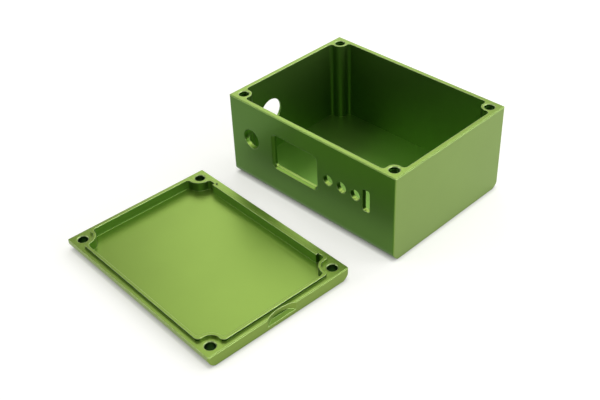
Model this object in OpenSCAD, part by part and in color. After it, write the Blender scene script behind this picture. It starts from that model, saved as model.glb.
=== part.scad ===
// Two-piece machined aluminium housing for a small circuit board, in millimetres.
// The tub stands on its base with its open side up. The lid lies in front of it with its inside up.
// X runs along the long side, the front wall with its row of openings faces -Y, Z is up.
// The origin is the middle of the tub's base.

/* [Box] */
// length of tub and lid along X
body_l = 80; // [74:1:120]
// width of tub and lid along Y
body_w = 59.5; // [48:0.5:90]
// height of the tub from its base to its rim
body_h = 35; // [30:0.5:60]
// thickness of the tub's four walls
wall = 1.8; // [1.4:0.1:2.6]
// thickness of the tub's floor
floor_t = 2.5; // [1.5:0.1:4]
// radius of the rounded long edges of tub and lid
edge_r = 4; // [2:0.25:4.25]
// radius of the four upright corners
corner_r = 0.6; // [0.3:0.1:1.2]
// chamfer that breaks the other outer edges and the mouths of the screw holes
edge_break = 0.3; // [0.15:0.05:0.45]

/* [Screw bosses] */
// distance of each screw hole from the two outer faces beside it
hole_inset = 3.9; // [3.6:0.1:5]
// diameter of the screw holes in tub and lid
hole_d = 3.6; // [2.5:0.1:4]
// depth of the tub's screw holes below its rim
hole_depth = 14; // [8:0.5:20]
// radius of the round boss about each screw hole
boss_r = 2.9; // [2.6:0.1:3.6]
// radius of the fillet between a boss and the wall beside it
boss_fillet_r = 1.5; // [1:0.1:2.2]

/* [Front openings] */
// diameter of the button hole at the left
button_d = 7.8; // [6:0.1:10]
// width of the display window at the front face
window_w = 22.9; // [18:0.1:26]
// height of the display window at the front face
window_h = 14.8; // [10:0.1:18]
// radius of the window's corners where its bevel ends
window_r = 1.2; // [0.6:0.1:2.5]
// width of the bevel around the window
window_bevel = 0.8; // [0.3:0.05:1.1]
// diameter of the three small round holes
lamp_d = 4.3; // [3:0.1:5]
// spacing of the three small round holes
lamp_pitch = 6.4; // [5.5:0.1:7.5]
// chamfer at the mouths of the button hole and the small round holes
mouth_break = 0.1; // [0.05:0.05:0.3]
// width of the upright slot at the right
slot_w = 3.3; // [2.5:0.1:4]
// height of the upright slot
slot_h = 8.9; // [7:0.1:11]
// radius of the slot's corners
slot_r = 0.9; // [0.4:0.1:1.2]
// space between the button hole and the window
button_gap = 6.95; // [3:0.05:10]
// space between the window and the first small hole
lamp_gap = 2.9; // [1.5:0.1:6]
// space between the last small hole and the slot
slot_gap = 1.2; // [0.8:0.1:3]
// width of the free ring behind the wall around the button hole
button_relief = 0.3; // [0.1:0.05:0.5]
// shift of the row's middle from the middle of the front, towards the left
row_shift = 2.05; // [-1:0.05:2.5]

/* [End hole] */
// diameter of the round hole in the left end wall
end_d = 10.5; // [8:0.1:13]
// width of the bevel around the end hole's outer mouth
end_bevel = 1; // [0.3:0.05:1.2]
// distance of the end hole from the middle of the end wall, towards the front
end_y = 11; // [0:0.5:13]
// distance of the end hole's centre below the row of front openings
end_drop = 0.3; // [0:0.1:2]

/* [Lid] */
// height of the lid from its outer face to the flange that meets the tub's rim
lid_t = 4.8; // [4.4:0.1:8]
// thickness of the lid's panel under its pocket
lid_floor_t = 2; // [1.4:0.1:3]
// height of the lip above the flange
lip_h = 1; // [0.5:0.1:2]
// width of the lip
lip_w = 1; // [0.7:0.1:1.3]
// free space between the lip and the tub's walls
lip_gap = 0.1; // [0.05:0.05:0.3]
// free space between the lip and the tub's bosses
boss_gap = 0.8; // [0.1:0.05:1.2]
// further set-back of the lip along the front wall
lip_step = 1.1; // [0.5:0.1:1.6]
// length of the straight lip between each boss and the set-back
lip_tab = 1.7; // [0.5:0.1:4]
// thickness of the lip where it steps back
lip_web = 0.4; // [0.3:0.1:1.3]
// length of the finger notch in the edge of the right short end
notch_w = 12; // [8:0.5:16]
// reach of the finger notch into the flange
notch_reach = 1.55; // [0.8:0.05:1.6]
// depth of the finger notch below the flange
notch_depth = 2; // [1:0.1:2.4]
// bevel along the outer edge of the finger notch's floor
notch_bevel = 1.05; // [0.2:0.05:1.2]

/* [Lid at rest] */
// clear distance between tub and lid, before the lid is turned
lid_gap = 14.1; // [8:0.1:30]
// shift of the lid towards the left
lid_shift = 7.2; // [0:0.1:20]
// turn of the lid on the table, clockwise from above
lid_turn = 2.9; // [0:0.1:8]

/* [Hidden] */
$fn = 96;

// length by which a cut runs past the face it opens
past = 1;

// depth by which a fillet bites into the faces that it joins
blend = 0.01;

// the row of front openings lies at half the height of the closed box
row_z = (body_h + lid_t)/2;

// middles of the front openings, from left to right
lamps_w = 2*lamp_pitch + lamp_d;
row_w = button_d + button_gap + window_w + lamp_gap + lamps_w + slot_gap + slot_w;
button_x = (button_d - row_w)/2 - row_shift;
window_x = button_x + button_d/2 + button_gap + window_w/2;
lamps_x = window_x + window_w/2 + lamp_gap + lamps_w/2;
slot_x = lamps_x + lamps_w/2 + slot_gap + slot_w/2;

// a front opening is cut deep enough to clear the fillets beside the bosses
front_depth = wall + 2*boss_fillet_r;

// the lip follows the inside of the tub's walls and bosses
lip_inset = wall + lip_gap;
lip_boss_r = boss_r + boss_gap;
pocket_inset = lip_inset + lip_w;
pocket_boss_r = lip_boss_r + lip_w;
pocket_depth = lid_t - lid_floor_t;
lip_step_x = body_l/2 - boss_end(pocket_inset, pocket_boss_r, boss_fillet_r) - lip_tab - lip_web;

// the finger notch is an arc of this radius
notch_r = (pow(notch_w/2, 2) + pow(notch_reach, 2))/(2*notch_reach);

// distance from a corner of the body at which the fillet of a bay's boss meets the wall
function boss_end(inset, round_r, fillet_r) =
    hole_inset + sqrt(pow(round_r + fillet_r - blend, 2) - pow(hole_inset - inset - fillet_r + blend, 2));

// a rectangle with round corners
module rounded(w, h, r) {
    square([w - 2*r, h], center = true);
    square([w, h - 2*r], center = true);
    for (sx = [-1, 1], sy = [-1, 1])
        translate([sx*(w/2 - r), sy*(h/2 - r)])
            circle(r);
}

// draws an outline of Y and Z along X
module along_x(len) {
    rotate([90, 0, 90])
        linear_extrude(len, center = true)
            children();
}

// draws an outline of X and Z along Y
module along_y(len) {
    rotate([90, 0, 0])
        linear_extrude(len, center = true)
            children();
}

// section across the long side: round below, chamfered above
module long_section(h) {
    y = body_w/2;
    polygon([
        [-y, edge_r], [y, edge_r], [y, h - edge_break],
        [y - edge_break, h], [edge_break - y, h], [-y, h - edge_break]
    ]);
    translate([edge_r - y, 0])
        square([body_w - 2*edge_r, edge_r]);
    for (s = [-1, 1])
        translate([s*(y - edge_r), edge_r])
            circle(edge_r);
}

// section along the long side: flat ends with broken edges
module end_section(h) {
    x = body_l/2;
    c = edge_break;
    polygon([[c - x, 0], [x - c, 0], [x, c], [x, h - c], [x - c, h], [c - x, h], [-x, h - c], [-x, c]]);
}

// solid block with two rounded long edges below and flat ends
module block(h) {
    intersection() {
        along_x(body_l)
            long_section(h);
        along_y(body_w)
            end_section(h);
        linear_extrude(h)
            rounded(body_l, body_w, corner_r);
    }
}

// one corner of a bay's surround: a round boss joined to both walls by fillets
module bay_corner(inset, round_r, fillet_r) {
    near = inset + fillet_r - blend;
    far = boss_end(inset, round_r, fillet_r);
    difference() {
        union() {
            translate([hole_inset, hole_inset])
                circle(round_r);
            polygon([
                [-past, -past], [far, -past], [far, near],
                [hole_inset, hole_inset], [near, far], [-past, far]
            ]);
        }
        translate([far, near])
            circle(fillet_r);
        translate([near, far])
            circle(fillet_r);
    }
}

// the space between the walls and the four bosses, seen from above
module bay(inset, round_r, fillet_r) {
    x = body_l/2;
    y = body_w/2;
    places = [[-x, -y], [x, -y], [x, y], [-x, y]];
    difference() {
        square([body_l - 2*inset, body_w - 2*inset], center = true);
        for (i = [0:3])
            translate(places[i])
                rotate(90*i)
                    bay_corner(inset, round_r, fillet_r);
    }
}

// puts something at each of the four screw holes
module at_screws() {
    for (sx = [-1, 1], sy = [-1, 1])
        translate([sx*(body_l/2 - hole_inset), sy*(body_w/2 - hole_inset), 0])
            children();
}

// a round hole with a bevelled mouth, going up from its mouth at zero
module round_hole(d, depth, bevel) {
    translate([0, 0, -past])
        cylinder(h = depth + past, d = d);
    translate([0, 0, -bevel])
        cylinder(h = 2*bevel, r1 = d/2 + 2*bevel, r2 = d/2);
}

// turns something that goes up into something that goes into the front wall
module into_front(x, z) {
    translate([x, -body_w/2, z])
        rotate([-90, 0, 0])
            children();
}

// the display window: a rounded opening with a bevel that widens towards its mouth at zero
module window() {
    b = window_bevel;
    w = window_w - 2*b;
    h = window_h - 2*b;
    translate([0, 0, -past])
        linear_extrude(front_depth + past)
            rounded(w, h, window_r);
    along_x(w - 2*window_r)
        polygon([[-h/2, b], [h/2, b], [h/2 + 2*b, -b], [-h/2 - 2*b, -b]]);
    along_y(h - 2*window_r)
        polygon([[-w/2, b], [w/2, b], [w/2 + 2*b, -b], [-w/2 - 2*b, -b]]);
    for (sx = [-1, 1], sy = [-1, 1])
        translate([sx*(w/2 - window_r), sy*(h/2 - window_r), -b])
            cylinder(h = 2*b, r1 = window_r + 2*b, r2 = window_r);
}

// the upright slot
module slot() {
    translate([0, 0, -past])
        linear_extrude(front_depth + past)
            rounded(slot_w, slot_h, slot_r);
}

// the open box with its corner bosses, screw holes and wall openings
module tub() {
    color([0.33, 0.45, 0.16])
        difference() {
            block(body_h);
            translate([0, 0, floor_t])
                linear_extrude(body_h - floor_t + past)
                    bay(wall, boss_r, boss_fillet_r);
            at_screws()
                translate([0, 0, body_h])
                    rotate([180, 0, 0])
                        round_hole(hole_d, hole_depth, edge_break);
            into_front(button_x, row_z) {
                round_hole(button_d, front_depth, mouth_break);
                translate([0, 0, wall])
                    cylinder(h = front_depth - wall, r = button_d/2 + button_relief);
            }
            into_front(window_x, row_z)
                window();
            for (i = [-1:1])
                into_front(lamps_x + i*lamp_pitch, row_z)
                    round_hole(lamp_d, front_depth, mouth_break);
            into_front(slot_x, row_z)
                slot();
            translate([-body_l/2, -end_y, row_z - end_drop])
                rotate([0, 90, 0])
                    round_hole(end_d, wall + past, end_bevel);
        }
}

// the outside of the lip, set back along the front wall
module lip_outline() {
    difference() {
        bay(lip_inset, lip_boss_r, boss_fillet_r);
        translate([-lip_step_x, body_w/2 - lip_inset - lip_step])
            square([2*lip_step_x, lip_step + past]);
    }
}

// the outline of the lid's pocket, inside the lip
module pocket_outline() {
    difference() {
        bay(pocket_inset, pocket_boss_r, boss_fillet_r);
        translate([-lip_step_x - lip_web, body_w/2 - pocket_inset - lip_step])
            square([2*(lip_step_x + lip_web), lip_step + past]);
    }
}

// the finger notch in the right short end: an arc in the flange, with a bevel at the outer edge of its floor
module notch() {
    translate([body_l/2, 0, lid_t - notch_depth])
        intersection() {
            translate([notch_r - notch_reach, 0, -notch_bevel - past])
                cylinder(h = notch_depth + notch_bevel + 2*past, r = notch_r);
            along_y(2*notch_w)
                polygon([
                    [-notch_reach - past, 0], [-notch_bevel, 0], [past, -notch_bevel - past],
                    [past, notch_depth + past], [-notch_reach - past, notch_depth + past]
                ]);
        }
}

// the lid in its own place, outer face down
module lid_solid() {
    difference() {
        union() {
            block(lid_t);
            translate([0, 0, lid_t - lip_h])
                linear_extrude(2*lip_h)
                    lip_outline();
        }
        translate([0, 0, lid_floor_t])
            linear_extrude(pocket_depth + lip_h + past)
                pocket_outline();
        at_screws()
            translate([0, 0, lid_t])
                rotate([180, 0, 0])
                    round_hole(hole_d, lid_t + past, edge_break);
        notch();
    }
}

// the lid as it lies in front of the tub, inside up
module lid() {
    color([0.6, 0.71, 0.34])
        translate([-lid_shift, -body_w - lid_gap, 0])
            rotate([0, 0, -lid_turn])
                lid_solid();
}

tub();
lid();
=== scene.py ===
import math

import bpy
from mathutils import Matrix, Vector


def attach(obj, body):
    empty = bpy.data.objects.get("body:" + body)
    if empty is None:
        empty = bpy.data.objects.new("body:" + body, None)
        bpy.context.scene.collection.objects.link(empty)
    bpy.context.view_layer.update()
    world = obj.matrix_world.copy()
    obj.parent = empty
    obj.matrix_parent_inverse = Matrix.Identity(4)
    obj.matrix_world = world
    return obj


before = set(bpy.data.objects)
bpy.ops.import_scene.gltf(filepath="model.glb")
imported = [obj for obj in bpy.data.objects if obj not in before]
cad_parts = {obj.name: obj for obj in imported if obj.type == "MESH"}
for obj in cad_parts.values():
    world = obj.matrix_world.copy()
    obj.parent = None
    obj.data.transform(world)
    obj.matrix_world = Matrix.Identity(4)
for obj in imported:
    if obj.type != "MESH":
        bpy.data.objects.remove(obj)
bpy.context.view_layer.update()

MM = 0.001


class Wire:
    """An output of a node tree. Arithmetic on it adds Math nodes."""

    def __init__(self, socket):
        self.socket = socket

    def math(self, operation, first, second):
        tree = self.socket.id_data
        node = tree.nodes.new("ShaderNodeMath")
        node.operation = operation
        for place, value in zip(node.inputs, (first, second)):
            if isinstance(value, Wire):
                tree.links.new(value.socket, place)
            else:
                place.default_value = value
        return Wire(node.outputs[0])

    def __add__(self, other):
        return self.math("ADD", self, other)

    def __radd__(self, other):
        return self.math("ADD", other, self)

    def __sub__(self, other):
        return self.math("SUBTRACT", self, other)

    def __rsub__(self, other):
        return self.math("SUBTRACT", other, self)

    def __mul__(self, other):
        return self.math("MULTIPLY", self, other)

    def __rmul__(self, other):
        return self.math("MULTIPLY", other, self)

    def at_least(self, other):
        return self.math("MAXIMUM", self, other)

    def at_most(self, other):
        return self.math("MINIMUM", self, other)

    def share(self):
        return self.at_least(0.0).at_most(1.0)

    def past(self, level, slope):
        """0 up to a level, then rising to 1."""
        return ((self - level) * slope).share()

    def short_of(self, level, slope):
        """1 well below a level, falling to 0 at it."""
        return ((level - self) * slope).share()


class Finish:
    """The node tree of one finish, or of the light around the object."""

    def __init__(self, owner):
        owner.use_nodes = True
        self.owner = owner
        self.tree = owner.node_tree
        self.tree.nodes.clear()

    def node(self, kind, settings=None, sockets=None, out=0):
        """Adds a node, sets its settings, then its sockets, and gives one of its outputs."""
        node = self.tree.nodes.new(kind)
        for name, value in (settings or {}).items():
            if name == "stops":
                ramp = node.color_ramp.elements
                while len(ramp) < len(value):
                    ramp.new(1.0)
                for element, (place, stop_colour) in zip(ramp, value):
                    element.position = place
                    element.color = stop_colour
            else:
                setattr(node, name, value)
        for name, value in (sockets or {}).items():
            if isinstance(value, Wire):
                self.tree.links.new(value.socket, node.inputs[name])
            else:
                node.inputs[name].default_value = value
        return Wire(node.outputs[out]) if node.outputs else None


def colour(red, green, blue):
    """A colour with its alpha, from linear values."""
    return (red, green, blue, 1.0)


def grey(level):
    return colour(level, level, level)


# The sizes of the housing that the finish and the added pieces follow.

BODY_L, BODY_W, BODY_H = 80.0 * MM, 59.5 * MM, 35.0 * MM
WALL = 1.8 * MM
POCKET_INSET = 2.9 * MM
HOLE_INSET = 3.9 * MM
HOLE_R = 1.8 * MM
LID_SHIFT = 7.2 * MM
LID_GAP = 14.1 * MM
LID_SPOT = Vector((-LID_SHIFT, -(BODY_W + LID_GAP), 0.0))
LID_TURN = math.radians(-2.9)

# The finish of both pieces: green anodised aluminium with a fine satin blast.

# One anodised green in lit and shaded copies: the wall green is the darkest, used on the outer walls and
# all else, and each green below paints light or shade over it.
WALL_GREEN = colour(0.069, 0.164, 0.0155)
# Painted light: a paler green for the inside of the tub and the lid's pocket, standing in for light in the
# hollows.
INSIDE_PAINTED_LIGHT_GREEN = colour(0.120, 0.240, 0.042)
# Painted light: a paler green still for the tub's inner floor, lit from the open top.
DEEP_FLOOR_PAINTED_LIGHT_GREEN = colour(0.174, 0.338, 0.058)
# Painted light: the paler green of upward faces, the rim, the sills, the flange, the lip's top and the
# pocket's floor, where they face the lamps.
UP_FACE_PAINTED_LIGHT_GREEN = colour(0.237, 0.361, 0.062)
# Painted light: the tub's short ends are paler, where the low lamps from the right fall on them.
TUB_END_PAINTED_LIGHT_GREEN = colour(0.196, 0.294, 0.068)
# Painted light: the lid's ends and long sides get a paler green.
LID_END_SIDE_PAINTED_LIGHT_GREEN = colour(0.192, 0.286, 0.048)
# Painted shade: the darkest green, on the outer wall of the lid's lip, where shade falls beside the
# flange.
LIP_PAINTED_SHADE_GREEN = colour(0.034, 0.085, 0.005)
# Painted shade: nearly black inside the screw holes.
BORE_PAINTED_SHADE_GREEN = colour(0.022, 0.085, 0.003)
# Painted highlight: the pale green on the upper edges and round the mouths of the screw holes.
PAINTED_EDGE_HIGHLIGHT = colour(0.62, 0.74, 0.40)

# How steeply one green gives way to the next, by the direction of a face and by its place.
TURN_FADE = 4.0
PLACE_FADE = 4.0 / MM
SHARP_FADE = 10.0 / MM

# From where a face counts as facing up, as an end or as a long side.
UP_FROM = 0.6
END_FROM = 0.6
SIDE_FROM = 0.3

# Heights above which the tub has its sills and rim, and the lid its flange and its lip.
SILLS_FROM = 6.0 * MM
FLANGE_FROM = 4.2 * MM
LIP_FROM = 4.85 * MM
WALL_MARGIN = 0.15 * MM

# Squared distances from a screw hole's axis, with the hole's wall at 1.
BORE_REACH = 1.034
BORE_FADE = 30.0
MOUTH_REACH = 1.5
MOUTH_FADE = 6.0
MOUTH_UP_FROM = 0.4
MOUTH_UP_FADE = 5.0

GRAIN_SCALE = 2600.0
GRAIN_HEIGHT = 0.03 * MM
GRAIN_STRENGTH = 0.25
CLOUD_SCALE = 38.0
CLOUD_SEED_STEP = 5.0
CLOUD_DEPTH = 0.16
EDGE_ROUND = 0.32 * MM
EDGE_FADE = 8.0
EDGE_UP_FADE = 3.0
# How much of the painted highlight the upper edges and the screw hole mouths take.
EDGE_HIGHLIGHT_SHARE = 0.6
MOUTH_HIGHLIGHT_SHARE = 0.35
OPEN_REACH = 0.6 * MM
OPEN_FROM = 0.72
OPEN_FADE = 5.0
SATIN = 0.34
SATIN_GRAIN = 0.08


def within(at, inset):
    """How far a point lies inside the walls: 1 on their inner faces and further in."""
    room_x = BODY_L / 2 - inset + WALL_MARGIN - at["off_x"]
    room_y = BODY_W / 2 - inset + WALL_MARGIN - at["off_y"]
    return (room_x.at_most(room_y) * SHARP_FADE).share()


def facing_up(at):
    """1 on faces that look up."""
    return at["to_z"].past(UP_FROM, TURN_FADE)


def on_end(at):
    """1 on the outer faces of the short ends."""
    return (at["to_x"] * at["x"] * (2.0 / BODY_L)).past(END_FROM, TURN_FADE)


def on_side(at):
    """1 on the outer faces of the long sides."""
    return (at["to_y"] * at["y"] * (2.0 / BODY_W)).past(SIDE_FROM, TURN_FADE)


def off_screw_hole(at):
    """The squared distance from the nearest screw hole's axis, with the hole's wall at 1."""
    x = (at["off_x"] - (BODY_L / 2 - HOLE_INSET)) * (1.0 / HOLE_R)
    y = (at["off_y"] - (BODY_W / 2 - HOLE_INSET)) * (1.0 / HOLE_R)
    return x * x + y * y


def in_screw_hole(at):
    """1 on the wall of a screw hole, where the painted shade goes."""
    return off_screw_hole(at).short_of(BORE_REACH, BORE_FADE)


def round_screw_hole(at):
    """1 on the upward bevel round the mouth of a screw hole, where the painted highlight goes."""
    upward = at["to_z"].past(MOUTH_UP_FROM, MOUTH_UP_FADE)
    return off_screw_hole(at).short_of(MOUTH_REACH, MOUTH_FADE) * upward


def tub_greens(at):
    """Where each green lies on the tub, each over the one before, as painted light: the inside, its floor,
    the short ends and the upward faces of the rim and the sills get paler copies of the wall green."""
    inside = within(at, WALL)
    up = facing_up(at)
    return (
        (inside, INSIDE_PAINTED_LIGHT_GREEN),
        (inside * up, DEEP_FLOOR_PAINTED_LIGHT_GREEN),
        (on_end(at), TUB_END_PAINTED_LIGHT_GREEN),
        (up * at["z"].past(SILLS_FROM, PLACE_FADE), UP_FACE_PAINTED_LIGHT_GREEN),
    )


def lid_greens(at):
    """Where each green lies on the lid, each over the one before: the pocket, the ends and long sides, and
    the upward faces of the flange, the lip's top and the pocket's floor get paler copies of the wall green
    as painted light, and the lip's outer wall gets the darkest green as painted shade."""
    inside = within(at, POCKET_INSET)
    on_flange = at["z"].past(FLANGE_FROM, PLACE_FADE)
    on_lip = at["z"].past(LIP_FROM, SHARP_FADE).at_most(1.0 - inside)
    return (
        (inside, INSIDE_PAINTED_LIGHT_GREEN),
        (on_end(at).at_least(on_side(at)), LID_END_SIDE_PAINTED_LIGHT_GREEN),
        (on_lip, LIP_PAINTED_SHADE_GREEN),
        (facing_up(at).at_most(on_flange.at_least(inside)), UP_FACE_PAINTED_LIGHT_GREEN),
    )


def placed(finish, spot, turn):
    """The piece's own coordinates, as if it lay straight at the origin."""
    return finish.node(
        "ShaderNodeMapping",
        {"vector_type": "TEXTURE"},
        {
            "Vector": finish.node("ShaderNodeTexCoord", out="Object"),
            "Location": spot,
            "Rotation": (0.0, 0.0, turn),
        },
    )


def measures(finish, place, normal):
    """Along each axis: the place, the distance from the middle (off_) and the way the face looks (to_)."""
    at = {}
    for axis in "xyz":
        part = axis.upper()
        at[axis] = finish.node("ShaderNodeSeparateXYZ", None, {"Vector": place}, out=part)
        at["off_" + axis] = at[axis].at_least(0.0 - at[axis])
        at["to_" + axis] = finish.node("ShaderNodeSeparateXYZ", None, {"Vector": normal}, out=part)
    return at


def speckle(finish, place, seed, scale, detail):
    return finish.node(
        "ShaderNodeTexNoise",
        {"noise_dimensions": "4D"},
        {"Vector": place, "W": seed, "Scale": scale, "Detail": detail},
    )


def anodised(name, grain_seed, spot, turn, greens):
    """Satin green in lit and shaded copies, with a painted highlight along the upper edges and round the
    mouths of the screw holes, and painted shade that makes the screw holes nearly black inside."""
    finish = Finish(bpy.data.materials.new(name))
    place = placed(finish, spot, turn)
    true_normal = finish.node("ShaderNodeNewGeometry", out="Normal")
    at = measures(finish, place, true_normal)
    grain = speckle(finish, place, grain_seed, GRAIN_SCALE, 2.0)
    cloud = speckle(finish, place, grain_seed + CLOUD_SEED_STEP, CLOUD_SCALE, 3.0)

    soft_normal = finish.node("ShaderNodeBevel", {"samples": 6}, {"Radius": EDGE_ROUND})
    soft_up = finish.node("ShaderNodeSeparateXYZ", None, {"Vector": soft_normal}, out="Z")
    facing = finish.node(
        "ShaderNodeVectorMath",
        {"operation": "DOT_PRODUCT"},
        {0: true_normal, 1: soft_normal},
        out="Value",
    )
    open_air = finish.node(
        "ShaderNodeAmbientOcclusion", {"samples": 6}, {"Distance": OPEN_REACH}, out="AO"
    )
    outward = open_air.past(OPEN_FROM, OPEN_FADE)
    edge = facing.short_of(1.0, EDGE_FADE) * outward * soft_up.past(0.0, EDGE_UP_FADE)
    # Painted highlight: convex edges facing up, and the upward bevels round the screw holes, take the pale
    # green.
    painted_highlight = (edge * EDGE_HIGHLIGHT_SHARE).at_least(round_screw_hole(at) * MOUTH_HIGHLIGHT_SHARE)

    shade = WALL_GREEN
    # The bore green paints shade inside the screw holes, over all else.
    for share, green in (*greens(at), (painted_highlight, PAINTED_EDGE_HIGHLIGHT), (in_screw_hole(at), BORE_PAINTED_SHADE_GREEN)):
        shade = finish.node(
            "ShaderNodeMix", {"data_type": "RGBA"}, {0: share, 6: shade, 7: green}, out=2
        )
    clouded = finish.node(
        "ShaderNodeVectorMath",
        {"operation": "SCALE"},
        {0: shade, "Scale": cloud * CLOUD_DEPTH + (1.0 - CLOUD_DEPTH / 2)},
    )
    rounded = finish.node(
        "ShaderNodeMix", {"data_type": "VECTOR"}, {0: outward, 4: true_normal, 5: soft_normal}, out=1
    )
    relief = finish.node(
        "ShaderNodeBump",
        None,
        {"Height": grain, "Strength": GRAIN_STRENGTH, "Distance": GRAIN_HEIGHT, "Normal": rounded},
    )
    surface = finish.node(
        "ShaderNodeBsdfPrincipled",
        None,
        {
            "Base Color": clouded,
            "Roughness": grain * SATIN_GRAIN + SATIN,
            "Metallic": 0.95,
            "Coat Weight": 0.1,
            "Coat Roughness": 0.30,
            "Normal": relief,
        },
    )
    finish.node("ShaderNodeOutputMaterial", None, {"Surface": surface})
    return finish.owner


def dress(node_name, material):
    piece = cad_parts[node_name]
    piece.data.materials.clear()
    piece.data.materials.append(material)


tub_finish = anodised("green_anodised_tub", 0.0, Vector((0.0, 0.0, 0.0)), 0.0, tub_greens)
lid_finish = anodised("green_anodised_lid", 3.0, LID_SPOT, LID_TURN, lid_greens)
dress("tub", tub_finish)
dress("lid", lid_finish)


# What the solids leave plain: the round foot of the lid's pocket, and the screw threads.

POCKET_BOSS_R = 4.7 * MM
POCKET_FILLET_R = 1.5 * MM
POCKET_FLOOR = 2.0 * MM
SET_BACK = 1.1 * MM
SET_BACK_X = 28.23 * MM
LID_PLACE = Matrix.Translation(LID_SPOT) @ Matrix.Rotation(LID_TURN, 4, "Z")
FOOT_R = 0.12 * MM
FOOT_STEP = 15
BITE = 0.02 * MM
FILLET_STEPS = 8
BOSS_STEPS = 18
SHARP_FROM = math.radians(30.0)


def arc(centre, radius, first, last, count):
    """Points on an arc, from the first angle to the last, in degrees."""
    steps = [math.radians(first + (last - first) * i / count) for i in range(count + 1)]
    return [centre + radius * Vector((math.cos(s), math.sin(s))) for s in steps]


def pocket_corner():
    """The pocket's outline at a corner of the body at the origin, from one wall to the next."""
    near = POCKET_INSET + POCKET_FILLET_R
    reach = POCKET_BOSS_R + POCKET_FILLET_R
    far = HOLE_INSET + math.sqrt(reach ** 2 - (HOLE_INSET - near) ** 2)
    lean = math.degrees(math.asin((near - HOLE_INSET) / reach))
    screw = Vector((HOLE_INSET, HOLE_INSET))
    outline = arc(Vector((far, near)), POCKET_FILLET_R, 270.0, 180.0 + lean, FILLET_STEPS)
    outline += arc(screw, POCKET_BOSS_R, lean, 90.0 - lean, BOSS_STEPS)[1:-1]
    return outline + arc(Vector((near, far)), POCKET_FILLET_R, 270.0 - lean, 180.0, FILLET_STEPS)


def pocket_outline():
    """The whole outline of the pocket, clockwise from above, with the set-back of its back wall."""
    outline = []
    for turn, x, y in ((0, -1, -1), (270, -1, 1), (180, 1, 1), (90, 1, -1)):
        spin = Matrix.Rotation(math.radians(turn), 2)
        corner = Vector((x * BODY_L / 2, y * BODY_W / 2))
        outline += [corner + spin @ point for point in pocket_corner()]
        if turn == 270:
            wall = BODY_W / 2 - POCKET_INSET
            for step_x, step_y in ((-1, 0), (-1, 1), (1, 1), (1, 0)):
                outline.append(Vector((step_x * SET_BACK_X, wall - step_y * SET_BACK)))
    return outline


def inward(outline):
    """At each point of a clockwise outline, how far it moves for each unit that the outline shrinks."""
    moves = []
    for i, point in enumerate(outline):
        before = (point - outline[i - 1]).normalized()
        after = (outline[(i + 1) % len(outline)] - point).normalized()
        first = Vector((before.y, -before.x))
        second = Vector((after.y, -after.x))
        moves.append((first + second) / (1.0 + first.dot(second)))
    return moves


def added(name, points, faces, material):
    """A piece that stays with the housing and has one of its finishes."""
    mesh = bpy.data.meshes.new(name)
    mesh.from_pydata(points, [], faces)
    mesh.validate()
    mesh.materials.append(material)
    for face in mesh.polygons:
        face.use_smooth = True
    mesh.set_sharp_from_angle(angle=SHARP_FROM)
    piece = bpy.data.objects.new(name, mesh)
    bpy.context.scene.collection.objects.link(piece)
    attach(piece, "root")


def pocket_foot():
    """The hollow round that the cutter leaves between the pocket's walls and its floor."""
    outline = pocket_outline()
    moves = inward(outline)
    section = [(-BITE, FOOT_R)]
    for degrees in range(0, 91, FOOT_STEP):
        s = math.radians(degrees)
        section.append((FOOT_R - FOOT_R * math.cos(s), FOOT_R - FOOT_R * math.sin(s)))
    section += [(FOOT_R, -BITE), (-BITE, -BITE)]
    points, faces = [], []
    for point, move in zip(outline, moves):
        for depth, height in section:
            flat = point + depth * move
            points.append(LID_PLACE @ Vector((flat.x, flat.y, POCKET_FLOOR + height)))
    rows, columns = len(outline), len(section)
    for i in range(rows):
        for j in range(columns):
            k, m = (i + 1) % rows, (j + 1) % columns
            faces.append((i * columns + j, i * columns + m, k * columns + m, k * columns + j))
    added("pocket_foot", points, faces, lid_finish)


THREAD_PITCH = 0.7 * MM
THREAD_DEPTH = 0.22 * MM
THREAD_HALF_FOOT = 0.42 * THREAD_PITCH
THREAD_HALF_CREST = 0.06 * MM
THREAD_BELOW_RIM = 0.9 * MM
THREAD_TURNS = 14
THREAD_STEPS = 32


def screw_thread(name, x, y):
    """The ridge of the thread in one of the tub's screw holes."""
    foot, crest = HOLE_R + BITE, HOLE_R - THREAD_DEPTH
    section = [
        (foot, THREAD_HALF_FOOT),
        (crest, THREAD_HALF_CREST),
        (crest, -THREAD_HALF_CREST),
        (foot, -THREAD_HALF_FOOT),
    ]
    rows, columns = THREAD_TURNS * THREAD_STEPS + 1, len(section)
    points, faces = [], []
    for i in range(rows):
        s = 2.0 * math.pi * i / THREAD_STEPS
        z = BODY_H - THREAD_BELOW_RIM - THREAD_PITCH * i / THREAD_STEPS
        for radius, height in section:
            points.append((x + radius * math.cos(s), y + radius * math.sin(s), z + height))
    for i in range(rows - 1):
        for j in range(columns):
            m = (j + 1) % columns
            faces.append((i * columns + j, i * columns + m, (i + 1) * columns + m, (i + 1) * columns + j))
    faces.append(tuple(range(columns)))
    faces.append(tuple((rows - 1) * columns + j for j in reversed(range(columns))))
    added(name, points, faces, tub_finish)


pocket_foot()
for x_side, x_name in ((-1, "left"), (1, "right")):
    for y_side, y_name in ((-1, "front"), (1, "back")):
        screw_thread(
            f"thread_{y_name}_{x_name}",
            x_side * (BODY_L / 2 - HOLE_INSET),
            y_side * (BODY_W / 2 - HOLE_INSET),
        )


# The stage: a pale floor that stays white to the eye and keeps the soft shadow, with a painted contact
# shadow close to the pieces.

FLOOR_REACH = 3.0
FLOOR_GREY = grey(0.47)
FLOOR_TOP_UP = 0.60
WARM_WHITE = colour(1.0, 1.0, 0.94)
# Painted shadow: how far from the pieces the floor's white top-up fades, darkening the floor at the
# contacts.
PAINTED_CONTACT_SHADOW_REACH = 2.0 * MM
LAMPLIT_REACH = 0.3


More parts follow.
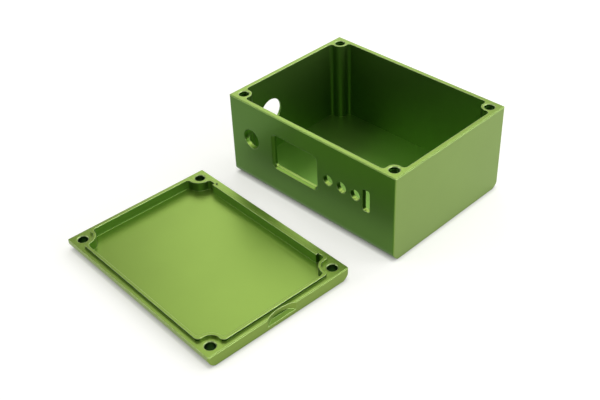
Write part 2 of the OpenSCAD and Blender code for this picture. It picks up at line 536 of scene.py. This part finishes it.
def floor():
    mesh = bpy.data.meshes.new("floor")
    r = FLOOR_REACH
    mesh.from_pydata([(-r, -r, 0), (r, -r, 0), (r, r, 0), (-r, r, 0)], [], [(0, 1, 2, 3)])
    piece = bpy.data.objects.new("floor", mesh)
    bpy.context.scene.collection.objects.link(piece)
    finish = Finish(bpy.data.materials.new("pale_floor"))
    matt = finish.node("ShaderNodeBsdfDiffuse", None, {"Color": FLOOR_GREY})
    glow = finish.node("ShaderNodeEmission", None, {"Color": WARM_WHITE, "Strength": FLOOR_TOP_UP})
    lit = finish.node("ShaderNodeAddShader", None, {0: matt, 1: glow})
    white = finish.node("ShaderNodeEmission", None, {"Color": grey(1.0), "Strength": 1.0})
    place = finish.node("ShaderNodeTexCoord", out="Object")
    distance = finish.node("ShaderNodeVectorMath", {"operation": "LENGTH"}, {0: place}, out="Value")
    far = distance.past(LAMPLIT_REACH, 1.0 / LAMPLIT_REACH)
    ground = finish.node("ShaderNodeMixShader", None, {0: far, 1: lit, 2: white})
    path = "ShaderNodeLightPath"
    seen = finish.node(path, out="Is Camera Ray")
    seen = seen.at_least(finish.node(path, out="Is Glossy Ray"))
    seen = seen.at_least(finish.node(path, out="Is Transmission Ray"))
    # Painted contact shadow: ambient occlusion fades the white top-up near the pieces.
    clear = finish.node(
        "ShaderNodeAmbientOcclusion", {"samples": 8}, {"Distance": PAINTED_CONTACT_SHADOW_REACH}, out="AO"
    )
    surface = finish.node("ShaderNodeMixShader", None, {0: seen * clear, 1: matt, 2: ground})
    finish.node("ShaderNodeOutputMaterial", None, {"Surface": surface})
    finish.owner.cycles.emission_sampling = "NONE"
    mesh.materials.append(finish.owner)


floor()


# Light: a room that is pale near the horizon, and soft lamps.

ROOM_STOPS = [
    (0.0, grey(0.85)),
    (0.15, grey(0.8)),
    (0.35, grey(0.08)),
    (1.0, grey(0.08)),
]


def room():
    world = bpy.data.worlds.new("room")
    bpy.context.scene.world = world
    finish = Finish(world)
    upward = finish.node("ShaderNodeTexCoord", out="Generated")
    height = finish.node("ShaderNodeSeparateXYZ", None, {"Vector": upward}, out="Z")
    pale = finish.node("ShaderNodeValToRGB", {"stops": ROOM_STOPS}, {"Fac": height})
    air = finish.node("ShaderNodeBackground", None, {"Color": pale, "Strength": 1.0})
    finish.node("ShaderNodeOutputWorld", None, {"Surface": air})


room()

# name: direction round the object and height above the horizon in degrees, width, power
LAMPS = {
    "right_back": (134.0, 35.0, 0.6, 0.86),
    "back": (180.0, 35.0, 0.6, 2.59),
    "left_back": (226.0, 35.0, 0.6, 1.7),
    "left_back_high": (226.0, 60.0, 0.7, 1.15),
    "right_back_high": (135.0, 60.0, 0.7, 3.02),
    "right_low": (100.0, 12.0, 0.4, 5.0),
    "right_back_low": (134.0, 12.0, 0.4, 2.2),
    "right_front": (45.0, 35.0, 0.6, 1.44),
    "left_front": (316.0, 35.0, 0.6, 2.59),
    "overhead": (0.0, 90.0, 0.8, 1.9),
}
LAMP_DISTANCE = 1.1
AIM = Vector((-0.005, -0.035, 0.015))


def towards(azimuth, elevation):
    """The direction at an azimuth and an elevation in degrees, with azimuth 0 in front."""
    a, e = math.radians(azimuth), math.radians(elevation)
    return Vector((math.sin(a) * math.cos(e), -math.cos(a) * math.cos(e), math.sin(e)))


def lamp(name, azimuth, elevation, width, power):
    light = bpy.data.lights.new(name, "AREA")
    light.shape = "DISK"
    light.size = width
    light.energy = power
    piece = bpy.data.objects.new(name, light)
    outward = towards(azimuth, elevation)
    piece.location = AIM + LAMP_DISTANCE * outward
    piece.rotation_euler = (-outward).to_track_quat("-Z", "Y").to_euler()
    bpy.context.scene.collection.objects.link(piece)


for lamp_name, lamp_values in LAMPS.items():
    lamp(lamp_name, *lamp_values)


# The camera stands where the photograph was taken from.

CAMERA_PLACE = (0.201005, -0.226160, 0.218922)
CAMERA_AZIMUTH = 46.3291
CAMERA_ELEVATION = 37.0585
CAMERA_ROLL = math.radians(-2.5304)
CAMERA_LENS = 58.522
CAMERA_SENSOR = 36.0


def camera():
    data = bpy.data.cameras.new("camera")
    data.sensor_width = CAMERA_SENSOR
    data.lens = CAMERA_LENS
    data.clip_start = 0.01
    data.clip_end = 20.0
    piece = bpy.data.objects.new("camera", data)
    bpy.context.scene.collection.objects.link(piece)
    back = towards(CAMERA_AZIMUTH, CAMERA_ELEVATION)
    right = towards(CAMERA_AZIMUTH + 90.0, 0.0)
    up = back.cross(right)
    across = math.cos(CAMERA_ROLL) * right + math.sin(CAMERA_ROLL) * up
    upright = math.cos(CAMERA_ROLL) * up - math.sin(CAMERA_ROLL) * right
    turn = Matrix((across, upright, back)).transposed()
    piece.matrix_world = Matrix.Translation(CAMERA_PLACE) @ turn.to_4x4()
    bpy.context.scene.camera = piece


camera()
bpy.context.scene.view_settings.view_transform = "Standard"
